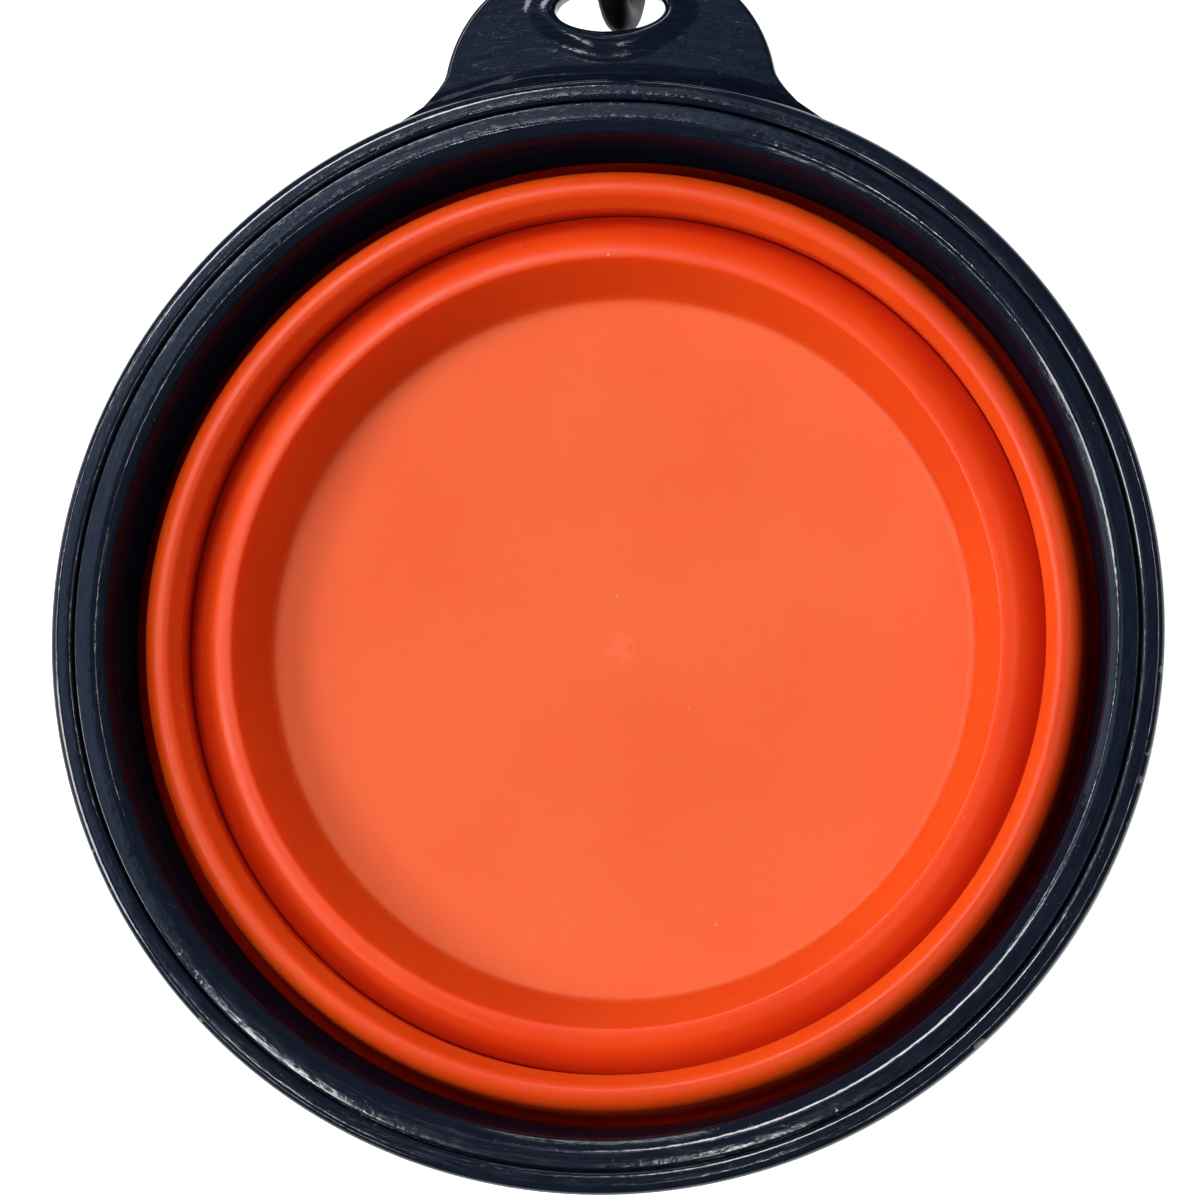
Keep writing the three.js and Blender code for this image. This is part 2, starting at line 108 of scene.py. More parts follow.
@dataclass(frozen=True)
class Corner:
    """A corner of a profile: radius and height in mm, and how far its rounding reaches along the sides."""

    radius: float
    height: float
    reach: float = 0.0

    def at(self) -> Vector:
        """The corner's place in the XZ plane, in metres."""
        return Vector((self.radius * MM, 0.0, self.height * MM))


class Bench:
    """Modelling moves that the pieces share."""

    @staticmethod
    def clear() -> None:
        """Leave edit mode and deselect everything."""
        if bpy.context.object and bpy.context.object.mode != "OBJECT":
            bpy.ops.object.mode_set(mode="OBJECT")
        bpy.ops.object.select_all(action="DESELECT")

    @staticmethod
    def take(obj: Piece) -> None:
        """Make one object the only selected and active one."""
        Bench.clear()
        obj.select_set(True)
        bpy.context.view_layer.objects.active = obj

    @staticmethod
    def named(name: str) -> Piece:
        """Name the object that was just added, and its data."""
        obj = bpy.context.object
        obj.name = name
        obj.data.name = name
        return obj

    @staticmethod
    def settled(name: str) -> Piece:
        """Name the object that was just added, and move its place into its mesh."""
        obj = Bench.named(name)
        bpy.ops.object.transform_apply(location=True, rotation=True, scale=True)
        return obj

    @staticmethod
    def select(obj: Piece, wanted: Callable[[Vector], bool], mode: str = "VERT") -> None:
        """Select vertices, edges or faces in edit mode by the place of their middle.

        Args:
            obj: object in edit mode.
            wanted: test of a place in metres.
            mode: VERT, EDGE or FACE.
        """
        bpy.ops.mesh.select_mode(type=mode)
        bpy.ops.mesh.select_all(action="DESELECT")
        mesh = bmesh.from_edit_mesh(obj.data)
        items, middle = {
            "VERT": (mesh.verts, lambda vert: vert.co),
            "EDGE": (mesh.edges, lambda edge: (edge.verts[0].co + edge.verts[1].co) / 2),
            "FACE": (mesh.faces, lambda face: face.calc_center_median()),
        }[mode]
        for item in items:
            item.select = wanted(middle(item))
        mesh.select_flush_mode()
        bmesh.update_edit_mesh(obj.data)

    @staticmethod
    def trace(name: str, points: Sequence[Vector], ends: Ends = Ends.JOINED) -> Piece:
        """Draw a chain of edges: a plane merged to one point, which is extruded from place to place.

        Args:
            name: name of the new object.
            points: places in metres.
            ends: whether the chain closes on itself or stays open.

        Returns:
            The object, in edit mode.
        """
        Bench.clear()
        bpy.ops.mesh.primitive_plane_add(size=MM)
        obj = Bench.named(name)
        bpy.ops.object.mode_set(mode="EDIT")
        bpy.ops.mesh.select_mode(type="VERT")
        bpy.ops.mesh.select_all(action="SELECT")
        bpy.ops.mesh.merge(type="CENTER")
        bpy.ops.transform.translate(value=points[0])
        for before, after in zip(points, points[1:]):
            bpy.ops.mesh.extrude_region_move(TRANSFORM_OT_translate={"value": after - before})
        if ends is Ends.JOINED:
            bpy.ops.mesh.select_all(action="SELECT")
            bpy.ops.mesh.edge_face_add()
            bpy.ops.mesh.delete(type="ONLY_FACE")
        return obj

    @staticmethod
    def spin(steps: int, centre: Sequence[float] = (0, 0, 0)) -> None:
        """Spin the profile in edit mode once round an upright axis through a centre."""
        bpy.ops.mesh.select_all(action="SELECT")
        bpy.ops.mesh.spin(steps=steps, angle=2 * math.pi, center=centre, axis=(0, 0, 1))

    @staticmethod
    def turned(name: str, corners: Sequence[Corner], ends: Ends = Ends.JOINED, steps: int = 200,
               segments: int = 7) -> Piece:
        """Turn a profile round the bowl's axis: trace it, round its corners and spin it.

        Args:
            name: name of the new object.
            corners: the profile's corners.
            ends: whether the profile closes on itself or ends on the axis.
            steps: steps of the spin.
            segments: segments of each rounded corner.

        Returns:
            The finished object.
        """
        obj = Bench.trace(name, [corner.at() for corner in corners], ends)
        for corner in corners:
            if corner.reach > 0:
                place = corner.at()
                Bench.select(obj, lambda co, place=place: (co - place).length < AT_CORNER)
                bpy.ops.mesh.bevel(offset_type="OFFSET", offset=corner.reach * MM, segments=segments,
                                   profile=0.5, affect="VERTICES", clamp_overlap=False)
        Bench.spin(steps)
        return Bench.closed(obj, TURNED_ANGLE)

    @staticmethod
    def smooth(obj: Piece, angle: float) -> Piece:
        """Shade an object smooth, apart from edges sharper than an angle in degrees."""
        Bench.take(obj)
        bpy.ops.object.shade_smooth_by_angle(angle=math.radians(angle))
        return obj

    @staticmethod
    def closed(obj: Piece, angle: float) -> Piece:
        """Merge doubles, turn the faces outwards, leave edit mode and shade smooth.

        Args:
            obj: object in edit mode.
            angle: sharpest angle in degrees that is still smooth.

        Returns:
            The same object.
        """
        bpy.ops.mesh.select_all(action="SELECT")
        bpy.ops.mesh.remove_doubles(threshold=MERGE)
        bpy.ops.mesh.normals_make_consistent(inside=False)
        bpy.ops.object.mode_set(mode="OBJECT")
        return Bench.smooth(obj, angle)

    @staticmethod
    def join(obj: Piece, other: Piece) -> Piece:
        """Join another mesh into an object, as a separate closed shell."""
        Bench.take(obj)
        other.select_set(True)
        bpy.ops.object.join()
        return obj

    @staticmethod
    def cut(obj: Piece, tool: Piece) -> None:
        """Cut one mesh out of another.

        Args:
            obj: mesh that is kept.
            tool: mesh that is used up.
        """
        Bench.take(obj)
        modifier = obj.modifiers.new("cut", "BOOLEAN")
        modifier.operation = "DIFFERENCE"
        modifier.solver = "EXACT"
        modifier.object = tool
        bpy.ops.object.modifier_apply(modifier=modifier.name)
        bpy.data.objects.remove(tool)

    @staticmethod
    def bar(name: str, radius: float, length: float, at: Vector, axis: Axis, sides: int,
            bevel: float = 0.0) -> Piece:
        """A round bar, with rounded ends where a bevel is given.

        Args:
            name: name of the new object.
            radius: radius in metres.
            length: length in metres.
            at: its middle.
            axis: which way it lies.
            sides: sides of the round section.
            bevel: rounding of the ends in metres.

        Returns:
            The object, with its place in its mesh.
        """
        Bench.clear()
        turn = (0, math.pi / 2, 0) if axis is Axis.X else (math.pi / 2, 0, 0)
        bpy.ops.mesh.primitive_cylinder_add(vertices=sides, radius=radius, depth=length, location=at,
                                            rotation=turn)
        obj = Bench.settled(name)
        if bevel > 0:
            along = axis.value
            bpy.ops.object.mode_set(mode="EDIT")
            Bench.select(obj, lambda co: abs(abs(co[along] - at[along]) - length / 2) < MERGE, "EDGE")
            bpy.ops.mesh.bevel(offset=bevel, segments=5, profile=0.5, affect="EDGES")
            Bench.closed(obj, ROD_ANGLE)
        return obj

    @staticmethod
    def block(name: str, size: Vector, at: Vector, bevel: float = 0.0) -> Piece:
        """A block, with its edges bevelled where a bevel is given.

        Args:
            name: name of the new object.
            size: lengths of its sides in metres.
            at: its middle.
            bevel: width of the bevel in metres.

        Returns:
            The object, with its place in its mesh.
        """
        Bench.clear()
        bpy.ops.mesh.primitive_cube_add(size=1, location=at, scale=size)
        obj = Bench.settled(name)
        if bevel > 0:
            bpy.ops.object.mode_set(mode="EDIT")
            bpy.ops.mesh.select_all(action="SELECT")
            bpy.ops.mesh.bevel(offset=bevel, segments=3, profile=0.5, affect="EDGES")
            Bench.closed(obj, ROD_ANGLE)
        return obj


class NodeBoard:
    """A material's node tree, with short calls for the nodes that the finishes use."""

    def __init__(self, name: str) -> None:
        """Start a material with one surface shader."""
        self.material = bpy.data.materials.new(name)
        self.material.use_nodes = True
        self.tree = self.material.node_tree
        self.shader = self.tree.nodes["Principled BSDF"]
        self.place = self.add("ShaderNodeTexCoord").outputs["Object"]

    def add(self, kind: str, inputs: dict | None = None, **settings: object) -> bpy.types.Node:
        """Add a node.

        Args:
            kind: its type.
            inputs: values or outputs for its inputs, by their name or number.
            settings: its properties.

        Returns:
            The node.
        """
        node = self.tree.nodes.new(kind)
        for key, value in settings.items():
            setattr(node, key, value)
        for key, value in (inputs or {}).items():
            self.feed(node.inputs[key], value)
        return node

    def feed(self, socket: Socket, value: object) -> None:
        """Link a socket to an output, or set its value."""
        if isinstance(value, Socket):
            self.tree.links.new(value, socket)
        else:
            socket.default_value = value

    def calc(self, kind: str, *values: object, clamp: bool = False) -> Socket:
        """The Math node's result from numbers or outputs, kept between 0 and 1 on demand."""
        inputs = dict(enumerate(values))
        return self.add("ShaderNodeMath", inputs, operation=kind, use_clamp=clamp).outputs[0]

    def times(self, *factors: object) -> Socket:
        """The product of numbers or outputs."""
        return functools.reduce(lambda product, factor: self.calc("MULTIPLY", product, factor), factors)

    def vector(self, kind: str, inputs: dict) -> bpy.types.NodeOutputs:
        """The outputs of a vector calculation."""
        return self.add("ShaderNodeVectorMath", inputs, operation=kind).outputs

    def stretched(self, stretch: Triple) -> Socket:
        """The place, stretched along the axes."""
        return self.vector("MULTIPLY", {0: self.place, 1: stretch})[0]

    def radius(self) -> Socket:
        """Distance from the bowl's axis."""
        return self.vector("LENGTH", {0: self.stretched(FLAT)})["Value"]

    def height(self) -> Socket:
        """Height over the floor, at rest."""
        return self.add("ShaderNodeSeparateXYZ", {0: self.place}).outputs["Z"]

    def step(self, value: object, low: float, high: float) -> Socket:
        """A smooth step from 0 at low to 1 at high."""
        inputs = {"Value": value, "From Min": low, "From Max": high}
        return self.add("ShaderNodeMapRange", inputs, interpolation_type="SMOOTHSTEP").outputs["Result"]

    def ring(self, span: Span) -> Socket:
        """A mask by the distance from the bowl's axis."""
        return self.step(self.radius(), *span)

    def level(self, span: Span) -> Socket:
        """A mask by the height over the floor."""
        return self.step(self.height(), *span)

    def between(self, value: object, low: float, high: float) -> Socket:
        """A value from 0 to 1 laid on the range from low to high."""
        inputs = {"Value": value, "To Min": low, "To Max": high}
        return self.add("ShaderNodeMapRange", inputs).outputs["Result"]

    def noise(self, scale: float, detail: float, weight: float, place: object = None) -> Socket:
        """Noise from 0 to 1, with layers of finer noise and their weight."""
        place = self.place if place is None else place
        inputs = {"Vector": place, "Scale": scale, "Detail": detail, "Roughness": weight}
        return self.add("ShaderNodeTexNoise", inputs).outputs["Fac"]

    def streaks(self, around: float, across: float, detail: float, weight: float) -> Socket:
        """Noise that is drawn out round the bowl's axis.

        Args:
            around: pattern lengths in a radian.
            across: pattern lengths in a metre of radius.
            detail: layers of finer noise.
            weight: weight of the finer noise.

        Returns:
            The noise, from 0 to 1.
        """
        direction = self.vector("NORMALIZE", {0: self.stretched(FLAT)})[0]
        circle = self.vector("SCALE", {0: direction, "Scale": around})[0]
        climb = self.times(self.height(), 0.8)
        radial = self.times(self.calc("ADD", self.radius(), climb), across)
        upright = self.add("ShaderNodeCombineXYZ", {"Z": radial}).outputs[0]
        return self.noise(1.0, detail, weight, self.vector("ADD", {0: circle, 1: upright})[0])

    def mix(self, share: object, first: object, second: object) -> Socket:
        """A colour between two colours."""
        return self.add("ShaderNodeMix", {0: share, 6: first, 7: second}, data_type="RGBA").outputs[2]

    def bump(self, *layers: tuple[Socket, float, float]) -> Socket:
        """A normal from layers of height, relief in metres and strength, each on the last."""
        inputs = {}
        for height, distance, strength in layers:
            inputs.update({"Height": height, "Distance": distance, "Strength": strength})
            inputs["Normal"] = self.add("ShaderNodeBump", inputs).outputs["Normal"]
        return inputs["Normal"]

    def wear(self, **inputs: object) -> None:
        """Set or link inputs of the surface shader by name, with spaces written as underscores."""
        for key, value in inputs.items():
            self.feed(self.shader.inputs[key.replace("_", " ")], value)


def shade(red: float, green: float, blue: float) -> Colour:
    """A linear colour with full cover."""
    return (red, green, blue, 1.0)


@dataclass(frozen=True)
class NavyPlastic:
    """Glossy navy-black moulded plastic with flow waves, hairline scuffs and nicked edges.

    A zone or level is a span in metres of radius or height, from where its mask is 0 to where it is 1.
    A shine is the specular level outside a zone and inside it.
    """

    deep: Colour = shade(0.0025, 0.0042, 0.0095)
    pale: Colour = shade(0.005, 0.008, 0.018)
    nick: Colour = shade(0.3, 0.31, 0.32)
    edge_zone: Span = (0.0643, 0.0648)
    edge_level: Span = (0.0203, 0.0209)
    side_zone: Span = (0.0643, 0.0646)
    side_level: Span = (0.0215, 0.0203)
    body_zone: Span = (0.0676, 0.067)
    tab_zone: Span = (0.067, 0.0676)
    skirt_zone: Span = (0.0637, 0.0634)
    skirt_level: Span = (0.0167, 0.0165)
    inner_zone: Span = (0.0589, 0.0585)
    side_shine: Span = (0.5, 0.03)
    inner_shine: Span = (1.0, 0.07)
    tab_shine: Span = (1.0, 0.42)
    skirt_shine: Span = (1.0, 0.22)
    gloss: Span = (0.07, 0.14)
    worn_share: float = 0.22
    nick_share: float = 0.75
    worn_rough: float = 0.3
    hair_rough: float = 0.08

    def material(self) -> Material:
        """Build the material."""
        board = NodeBoard("navy_plastic")
        streak = board.streaks(around=16.0, across=2600.0, detail=3.0, weight=0.6)
        wave = board.streaks(around=46.0, across=900.0, detail=2.0, weight=0.5)
        hair = board.step(board.streaks(around=30.0, across=9000.0, detail=4.0, weight=0.75), 0.62, 0.74)
        scuff = board.step(board.noise(scale=620.0, detail=5.0, weight=0.7), 0.64, 0.72)
        patch = board.step(board.noise(scale=95.0, detail=4.0, weight=0.6), 0.48, 0.68)
        chips = board.step(board.noise(scale=330.0, detail=3.0, weight=0.6), 0.655, 0.69)
        worn = board.times(scuff, patch)
        nicks = board.times(board.ring(self.edge_zone), board.level(self.edge_level), chips)
        body = board.mix(board.step(streak, 0.3, 0.75), self.deep, self.pale)
        body = board.mix(board.times(worn, self.worn_share), body, self.nick)
        body = board.mix(board.times(nicks, self.nick_share), body, self.nick)
        rough = board.between(board.step(streak, 0.35, 0.75), *self.gloss)
        rough = board.calc("ADD", rough, board.times(board.calc("MAXIMUM", worn, nicks), self.worn_rough))
        rough = board.calc("ADD", rough, board.times(hair, self.hair_rough), clamp=True)
        normal = board.bump((wave, 0.00009, 0.22), (streak, 0.00002, 0.5), (hair, 0.00001, 0.4))
        side = board.times(board.ring(self.side_zone), board.level(self.side_level),
                           board.ring(self.body_zone))
        skirt = board.times(board.level(self.skirt_level), board.ring(self.skirt_zone))
        shine = board.times(board.between(side, *self.side_shine),
                            board.between(board.ring(self.inner_zone), *self.inner_shine),
                            board.between(board.ring(self.tab_zone), *self.tab_shine),
                            board.between(skirt, *self.skirt_shine))
        board.wear(Base_Color=body, Roughness=rough, Normal=normal, IOR=1.46, Specular_IOR_Level=shine)
        return board.material


@dataclass(frozen=True)
class OrangeSilicone:
    """Satin orange silicone; the inside of the base is frosted and paler, partly real frosting and partly
    painted sheen, with a pale moulding mark in its middle.

    Painted shade darkens the valley under the second crest and the gap beyond the upper ring. Zones and
    levels are spans as in the navy plastic.
    """

    deep: Colour = shade(0.68, 0.052, 0.0025)
    pale: Colour = shade(0.74, 0.066, 0.004)
    # the frosted base's paler colour: partly real frosting, partly painted sheen from overhead light
    frost_and_sheen: Colour = shade(0.78, 0.122, 0.028)
    mark: Colour = shade(0.9, 0.17, 0.08)
    dust: Colour = shade(0.75, 0.6, 0.55)
    # painted shade: deep red for the valley between the second crest and the upper ring
    shadow: Colour = shade(0.58, 0.022, 0.0018)
    # painted shade: near-black red for silicone out beyond the upper ring, in the gap under the clamp ring
    depth: Colour = shade(0.28, 0.009, 0.001)
    base_zone: Span = (0.0417, 0.0411)
    base_low: Span = (0.003, 0.0032)
    base_high: Span = (0.0042, 0.004)
    mark_zone: Span = (0.0034, 0.0002)
    valley_zone: Span = (0.0468, 0.0502)
    valley_level: Span = (0.0119, 0.0111)
    fold_shade_zone: Span = (0.0552, 0.0556)
    even: Span = (0.3, 0.7)
    satin: Span = (0.34, 0.42)
    matt: Span = (0.56, 0.68)
    mark_share: float = 0.5
    mottle_share: float = 0.32
    dust_share: float = 0.35

    def material(self) -> Material:
        """Build the material."""
        board = NodeBoard("orange_silicone")
        mottle = board.noise(scale=38.0, detail=4.0, weight=0.55)
        grain = board.noise(scale=5200.0, detail=2.0, weight=0.6)
        flow = board.streaks(around=9.0, across=1500.0, detail=3.0, weight=0.6)
        frosted_and_sheen = board.times(board.ring(self.base_zone), board.level(self.base_low),
                              board.level(self.base_high))
        cloud = board.step(board.noise(scale=900.0, detail=3.0, weight=0.6), 0.42, 0.62)
        blush = board.times(board.ring(self.mark_zone), cloud, self.mark_share)
        cells = board.add("ShaderNodeTexVoronoi", {"Vector": board.place, "Scale": 240.0})
        specks = board.step(cells.outputs["Distance"], 0.045, 0.03)
        sparse = board.step(board.noise(scale=160.0, detail=2.0, weight=0.5), 0.6, 0.64)
        painted_valley_shade = board.times(board.ring(self.valley_zone), board.level(self.valley_level))
        # the frosted disc is paler, partly as painted sheen
        disc = board.mix(blush, self.frost_and_sheen, self.mark)
        disc = board.mix(board.times(board.step(mottle, 0.35, 0.7), self.mottle_share), disc, self.pale)
        body = board.mix(board.step(mottle, *self.even), self.deep, self.pale)
        body = board.mix(frosted_and_sheen, body, disc)
        body = board.mix(board.times(specks, sparse, self.dust_share), body, self.dust)
        # painted shade: the valley below the second crest's edge is darkened to deep red
        body = board.mix(painted_valley_shade, body, self.shadow)
        # painted shade: silicone farther out than the upper ring's dome is darkened to near-black red
        body = board.mix(board.ring(self.fold_shade_zone), body, self.depth)
        satin = board.between(board.step(flow, *self.even), *self.satin)
        matt = board.between(board.step(grain, *self.even), *self.matt)
        normal = board.bump((board.times(grain, frosted_and_sheen), 0.00003, 0.5), (flow, 0.00002, 0.25))
        rough = board.add("ShaderNodeMix", {0: frosted_and_sheen, 2: satin, 3: matt}, data_type="FLOAT").outputs[0]
        board.wear(Base_Color=body, Roughness=rough, Normal=normal)
        board.wear(IOR=1.42, Specular_IOR_Level=0.32, Subsurface_Weight=0.7, Subsurface_Scale=0.005,
                   Subsurface_Radius=(1.0, 0.1, 0.02))
        return board.material


@dataclass(frozen=True)
class BlackRod:
    """Black anodised rod with a fine drawn grain."""

    deep: Colour = shade(0.0025, 0.0025, 0.003)
    pale: Colour = shade(0.006, 0.006, 0.0065)
    drawn: Triple = (1.0, 0.12, 1.0)
    rough: Span = (0.4, 0.52)

    def material(self) -> Material:
        """Build the material."""
        board = NodeBoard("black_rod")
        grain = board.noise(3800.0, 3.0, 0.6, board.stretched(self.drawn))
        cloud = board.step(board.noise(scale=240.0, detail=3.0, weight=0.5), 0.35, 0.7)
        board.wear(Base_Color=board.mix(cloud, self.deep, self.pale), Specular_IOR_Level=0.08)
        board.wear(Roughness=board.between(board.step(grain, 0.3, 0.7), *self.rough))
        board.wear(Normal=board.bump((grain, 0.000012, 0.35)))
        return board.material


@dataclass(frozen=True)
class BrightSteel:
    """Bright steel of pins and spring, with fine turning marks."""

    deep: Colour = shade(0.42, 0.43, 0.45)
    pale: Colour = shade(0.6, 0.61, 0.63)
    drawn: Triple = (0.2, 1.0, 1.0)
    rough: Span = (0.22, 0.36)

    def material(self) -> Material:
        """Build the material."""
        board = NodeBoard("bright_steel")
        marks = board.noise(6000.0, 3.0, 0.6, board.stretched(self.drawn))
        tone = board.step(marks, 0.3, 0.7)
        board.wear(Base_Color=board.mix(tone, self.deep, self.pale), Metallic=1.0)
        board.wear(Roughness=board.between(tone, *self.rough), Normal=board.bump((marks, 0.00001, 0.3)))
        return board.material


@dataclass(frozen=True)
class Finishes:
    """The materials of the bowl, one for each material slot."""

    materials: dict[Slot, Material] = field(default_factory=lambda: {
        Slot.RIM_PLASTIC: NavyPlastic().material(), Slot.SILICONE: OrangeSilicone().material(),
        Slot.ROD: BlackRod().material(), Slot.STEEL: BrightSteel().material()})

    def dress(self, obj: Piece, slot: Slot) -> None:
        """Give an object its slot's material and log the slot by name.

        Args:
            obj: piece to dress.
            slot: its material slot.
        """
        obj.data.materials.clear()
        obj.data.materials.append(self.materials[slot])
        LOG.info("%s: %d faces, %s", obj.name, len(obj.data.polygons), slot.value)


@dataclass
class Rim:
    """Hard rim: the outer frame with its hanger tab, and the clamp ring inside it."""

    finishes: Finishes
    radius: float = 65.0
    bottom: float = 7.0
    top: float = 21.8
    lip_bottom: float = 16.8
    lip_foot: float = 64.7
    edge_top: float = 21.35
    band_outer: float = 64.2
    seam: float = 62.4
    seam_mouth: float = 62.75
    seam_top: float = 21.5
    shoulder: float = 19.4
    skirt_inner: float = 60.5
    skirt_outer: float = 62.5
    skirt_foot: float = 61.9
    ledge_inner: float = 57.8
    ledge_top: float = 8.5
    clamp_radius: float = 62.1
    clamp_under: float = 19.6
    band_inner: float = 59.9
    bevel_foot: float = 20.95
    wall_top: float = 58.5
    wall_foot: float = 56.7
    wall: float = 1.6
    clamp_foot: float = 10.5
    ring_steps: int = 240
    slot_centre: float = 73.65
    slot_half_width: float = 6.5
    slot_half_height: float = 2.6
    slot_flat: float = 0.4
    slot_round: float = 0.8
    tab_end: float = 84.0
    tab_end_radius: float = 15.5
    tab_lean: float = 30.0
    tab_fillet: float = 16.0
    tab_middle: float = 17.1
    tab_half: float = 1.5
    web: float = 1.1
    web_start: float = 0.6
    inside: float = 61.8
    collar_zone: float = 4.0
    collar_height: float = 0.5
    field_zone: float = 3.0
    edge_zone: float = 2.6
    edge_round: float = 0.5
    edge_gap: float = 0.1
    spare: float = 20.0
    tab_steps: int = 240
    arc_steps: int = 160

    def build(self) -> None:
        """Build and dress the frame and the clamp ring."""
        shell = Bench.join(self.frame_ring(), self.tab())
        shell.name = "rim_frame_shell"
        clamp = self.clamp_ring()
        for obj, node in ((shell, "rim_frame"), (clamp, "rim_clamp_ring")):
            self.finishes.dress(obj, Slot.RIM_PLASTIC)
            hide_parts(node)
            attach(obj, Body.RIM.value)

    def frame_ring(self) -> Piece:
        """The frame's turned lip with a flat top band, the skirt and the ledge."""
        return Bench.turned("frame_ring", [
            Corner(self.ledge_inner, self.bottom, 0.3),
            Corner(self.skirt_foot, self.bottom, 0.9),
            Corner(self.skirt_outer, self.lip_bottom, 0.3),
            Corner(self.lip_foot, self.lip_bottom, 0.9),
            Corner(self.radius, self.edge_top, 0.5),
            Corner(self.band_outer, self.top, 0.3),
            Corner(self.seam_mouth, self.top, 0.3),
            Corner(self.seam, self.seam_top, 0.25),
            Corner(self.seam, self.shoulder, 0.1),
            Corner(self.skirt_inner, self.shoulder, 0.1),
            Corner(self.skirt_inner, self.ledge_top, 0.15),
            Corner(self.ledge_inner, self.ledge_top, 0.3),
        ], steps=self.ring_steps)

    def clamp_ring(self) -> Piece:
        """The clamp ring: a flat band, a bevel and the tall inner wall."""
        return Bench.turned("rim_clamp_shell", [
            Corner(self.clamp_radius, self.clamp_under, 0.1),
            Corner(self.clamp_radius, self.top, 0.25),
            Corner(self.band_inner, self.top, 0.4),
            Corner(self.wall_top, self.bevel_foot, 0.4),
            Corner(self.wall_foot, self.clamp_foot, 0.15),
            Corner(self.wall_foot + self.wall, self.clamp_foot, 0.15),
            Corner(self.wall_top + self.wall, self.clamp_under, 0.3),
        ], steps=self.ring_steps)

    def section(self) -> list[tuple[float, float]]:
        """The tab's upper half section, from the slot's wall to the outer edge.

        Returns:
            Pairs of run and height in mm, the height from the tab's middle plane.
        """
        crown = self.tab_half + self.collar_height
        lip = self.slot_round
        rise = [(lip * (1 - math.cos(turn)), crown - lip * (1 - math.sin(turn)))
                for turn in np.linspace(0, math.pi / 2, 8)]
        fall = [(lip + (self.collar_zone - lip) * share,
                 self.tab_half + self.collar_height * (1 + math.cos(math.pi * share)) / 2)
                for share in np.linspace(0, 1, 12)[1:]]
        flat = [(self.collar_zone + self.field_zone * share, self.tab_half)
                for share in np.linspace(0, 1, 9)[1:]]
        total = self.collar_zone + self.field_zone + self.edge_zone
        border = (total - self.edge_round - self.edge_gap, self.tab_half)
        corner = [(total - self.edge_round * (1 - math.sin(turn)),
                   self.tab_half - self.edge_round * (1 - math.cos(turn)))
                  for turn in np.linspace(0, math.pi / 2, 7)]
        return [(0.0, self.slot_flat), *rise, *fall, *flat, border, *corner]

    def outline(self) -> tuple[np.ndarray, np.ndarray]:
        """The tab's outline seen from the slot's centre.

        Returns:
            Angles in rising order, and the outline's distances in mm at them.
        """
        lean = math.radians(self.tab_lean)
        end_centre = self.tab_end - self.tab_end_radius
        off_side = self.tab_end_radius + end_centre * math.sin(lean) + self.tab_fillet
        along_side = math.sqrt((self.radius + self.tab_fillet) ** 2 - off_side ** 2)
        fillet_x = off_side * math.cos(lean) - along_side * math.sin(lean)
        fillet_y = off_side * math.sin(lean) + along_side * math.cos(lean)
        rim_angle = math.atan2(fillet_y, fillet_x)

        def arc(x: float, y: float, radius: float, start: float, stop: float) -> np.ndarray:
            """Points of an arc."""
            turn = np.linspace(start, stop, self.arc_steps)
            return np.stack([x + radius * np.cos(turn), y + radius * np.sin(turn)], 1)

        points = np.concatenate([
            arc(0, 0, self.inside, math.pi - rim_angle, rim_angle),
            arc(fillet_x, fillet_y, self.tab_fillet, rim_angle + math.pi, lean + math.pi),
            arc(0, end_centre, self.tab_end_radius, lean, math.pi - lean),
            arc(-fillet_x, fillet_y, self.tab_fillet, -lean, -rim_angle),
        ]) - np.array([0.0, self.slot_centre])
        angles = np.arctan2(points[:, 1], points[:, 0])
        order = np.argsort(angles)
        return angles[order], np.hypot(points[:, 0], points[:, 1])[order]

    def tab(self) -> Piece:
        """The hanger tab: a section spun round the slot, then drawn out to the slot and the outline."""
        upper = self.section()
        loop = upper + [(run, -height) for run, height in reversed(upper)]
        points = [Vector(((self.spare + run) * MM, self.slot_centre * MM, (self.tab_middle + height) * MM))
                  for run, height in loop]
        obj = Bench.trace("hanger_tab", points)
        Bench.spin(self.tab_steps, (0, self.slot_centre * MM, 0))
        bpy.ops.mesh.select_all(action="SELECT")
        bpy.ops.mesh.remove_doubles(threshold=MERGE)
        bpy.ops.object.mode_set(mode="OBJECT")
        self.draw_out(obj)
        bpy.ops.object.mode_set(mode="EDIT")
        return Bench.closed(obj, TURNED_ANGLE)

    def draw_out(self, obj: Piece) -> None:
        """Move the spun tab's points to the slot's oval, the outline and the web against the rim.

        Args:
            obj: the spun tab, in object mode.
        """
        places = np.zeros(len(obj.data.vertices) * 3, np.float32)
        obj.data.vertices.foreach_get("co", places)
        places = places.reshape(-1, 3).astype(float) / MM
        x, y = places[:, 0], places[:, 1] - self.slot_centre
        turn = np.arctan2(y, x)
        run = np.hypot(x, y) - self.spare
        slot = 1 / np.hypot(np.cos(turn) / self.slot_half_width, np.sin(turn) / self.slot_half_height)
        angles, far = self.outline()
        edge = np.interp(turn, angles, far, period=2 * math.pi)
        beyond = run - self.collar_zone
        share = np.clip(beyond / self.field_zone, 0, 1)
        reach = slot + np.minimum(run, self.collar_zone) + np.maximum(beyond - self.field_zone, 0)
        reach += share * (edge - self.edge_zone - slot - self.collar_zone)
        placed = np.stack([reach * np.cos(turn), self.slot_centre + reach * np.sin(turn), places[:, 2]], 1)
        height = placed[:, 2] - self.tab_middle
        from_axis = np.hypot(placed[:, 0], placed[:, 1])
        off_wall = np.clip(from_axis - self.radius, 0, self.web)
        hollow = self.tab_half + self.web - np.sqrt(self.web ** 2 - (self.web - off_wall) ** 2)
        off_seam = from_axis > self.seam + self.web_start
        in_corner = (height > self.tab_half / 2) & (off_wall < self.web) & off_seam
        placed[:, 2] += np.where(in_corner, np.maximum(hollow - height, 0), 0)
        obj.data.vertices.foreach_set("co", (placed * MM).astype(np.float32).ravel())
        obj.data.update()


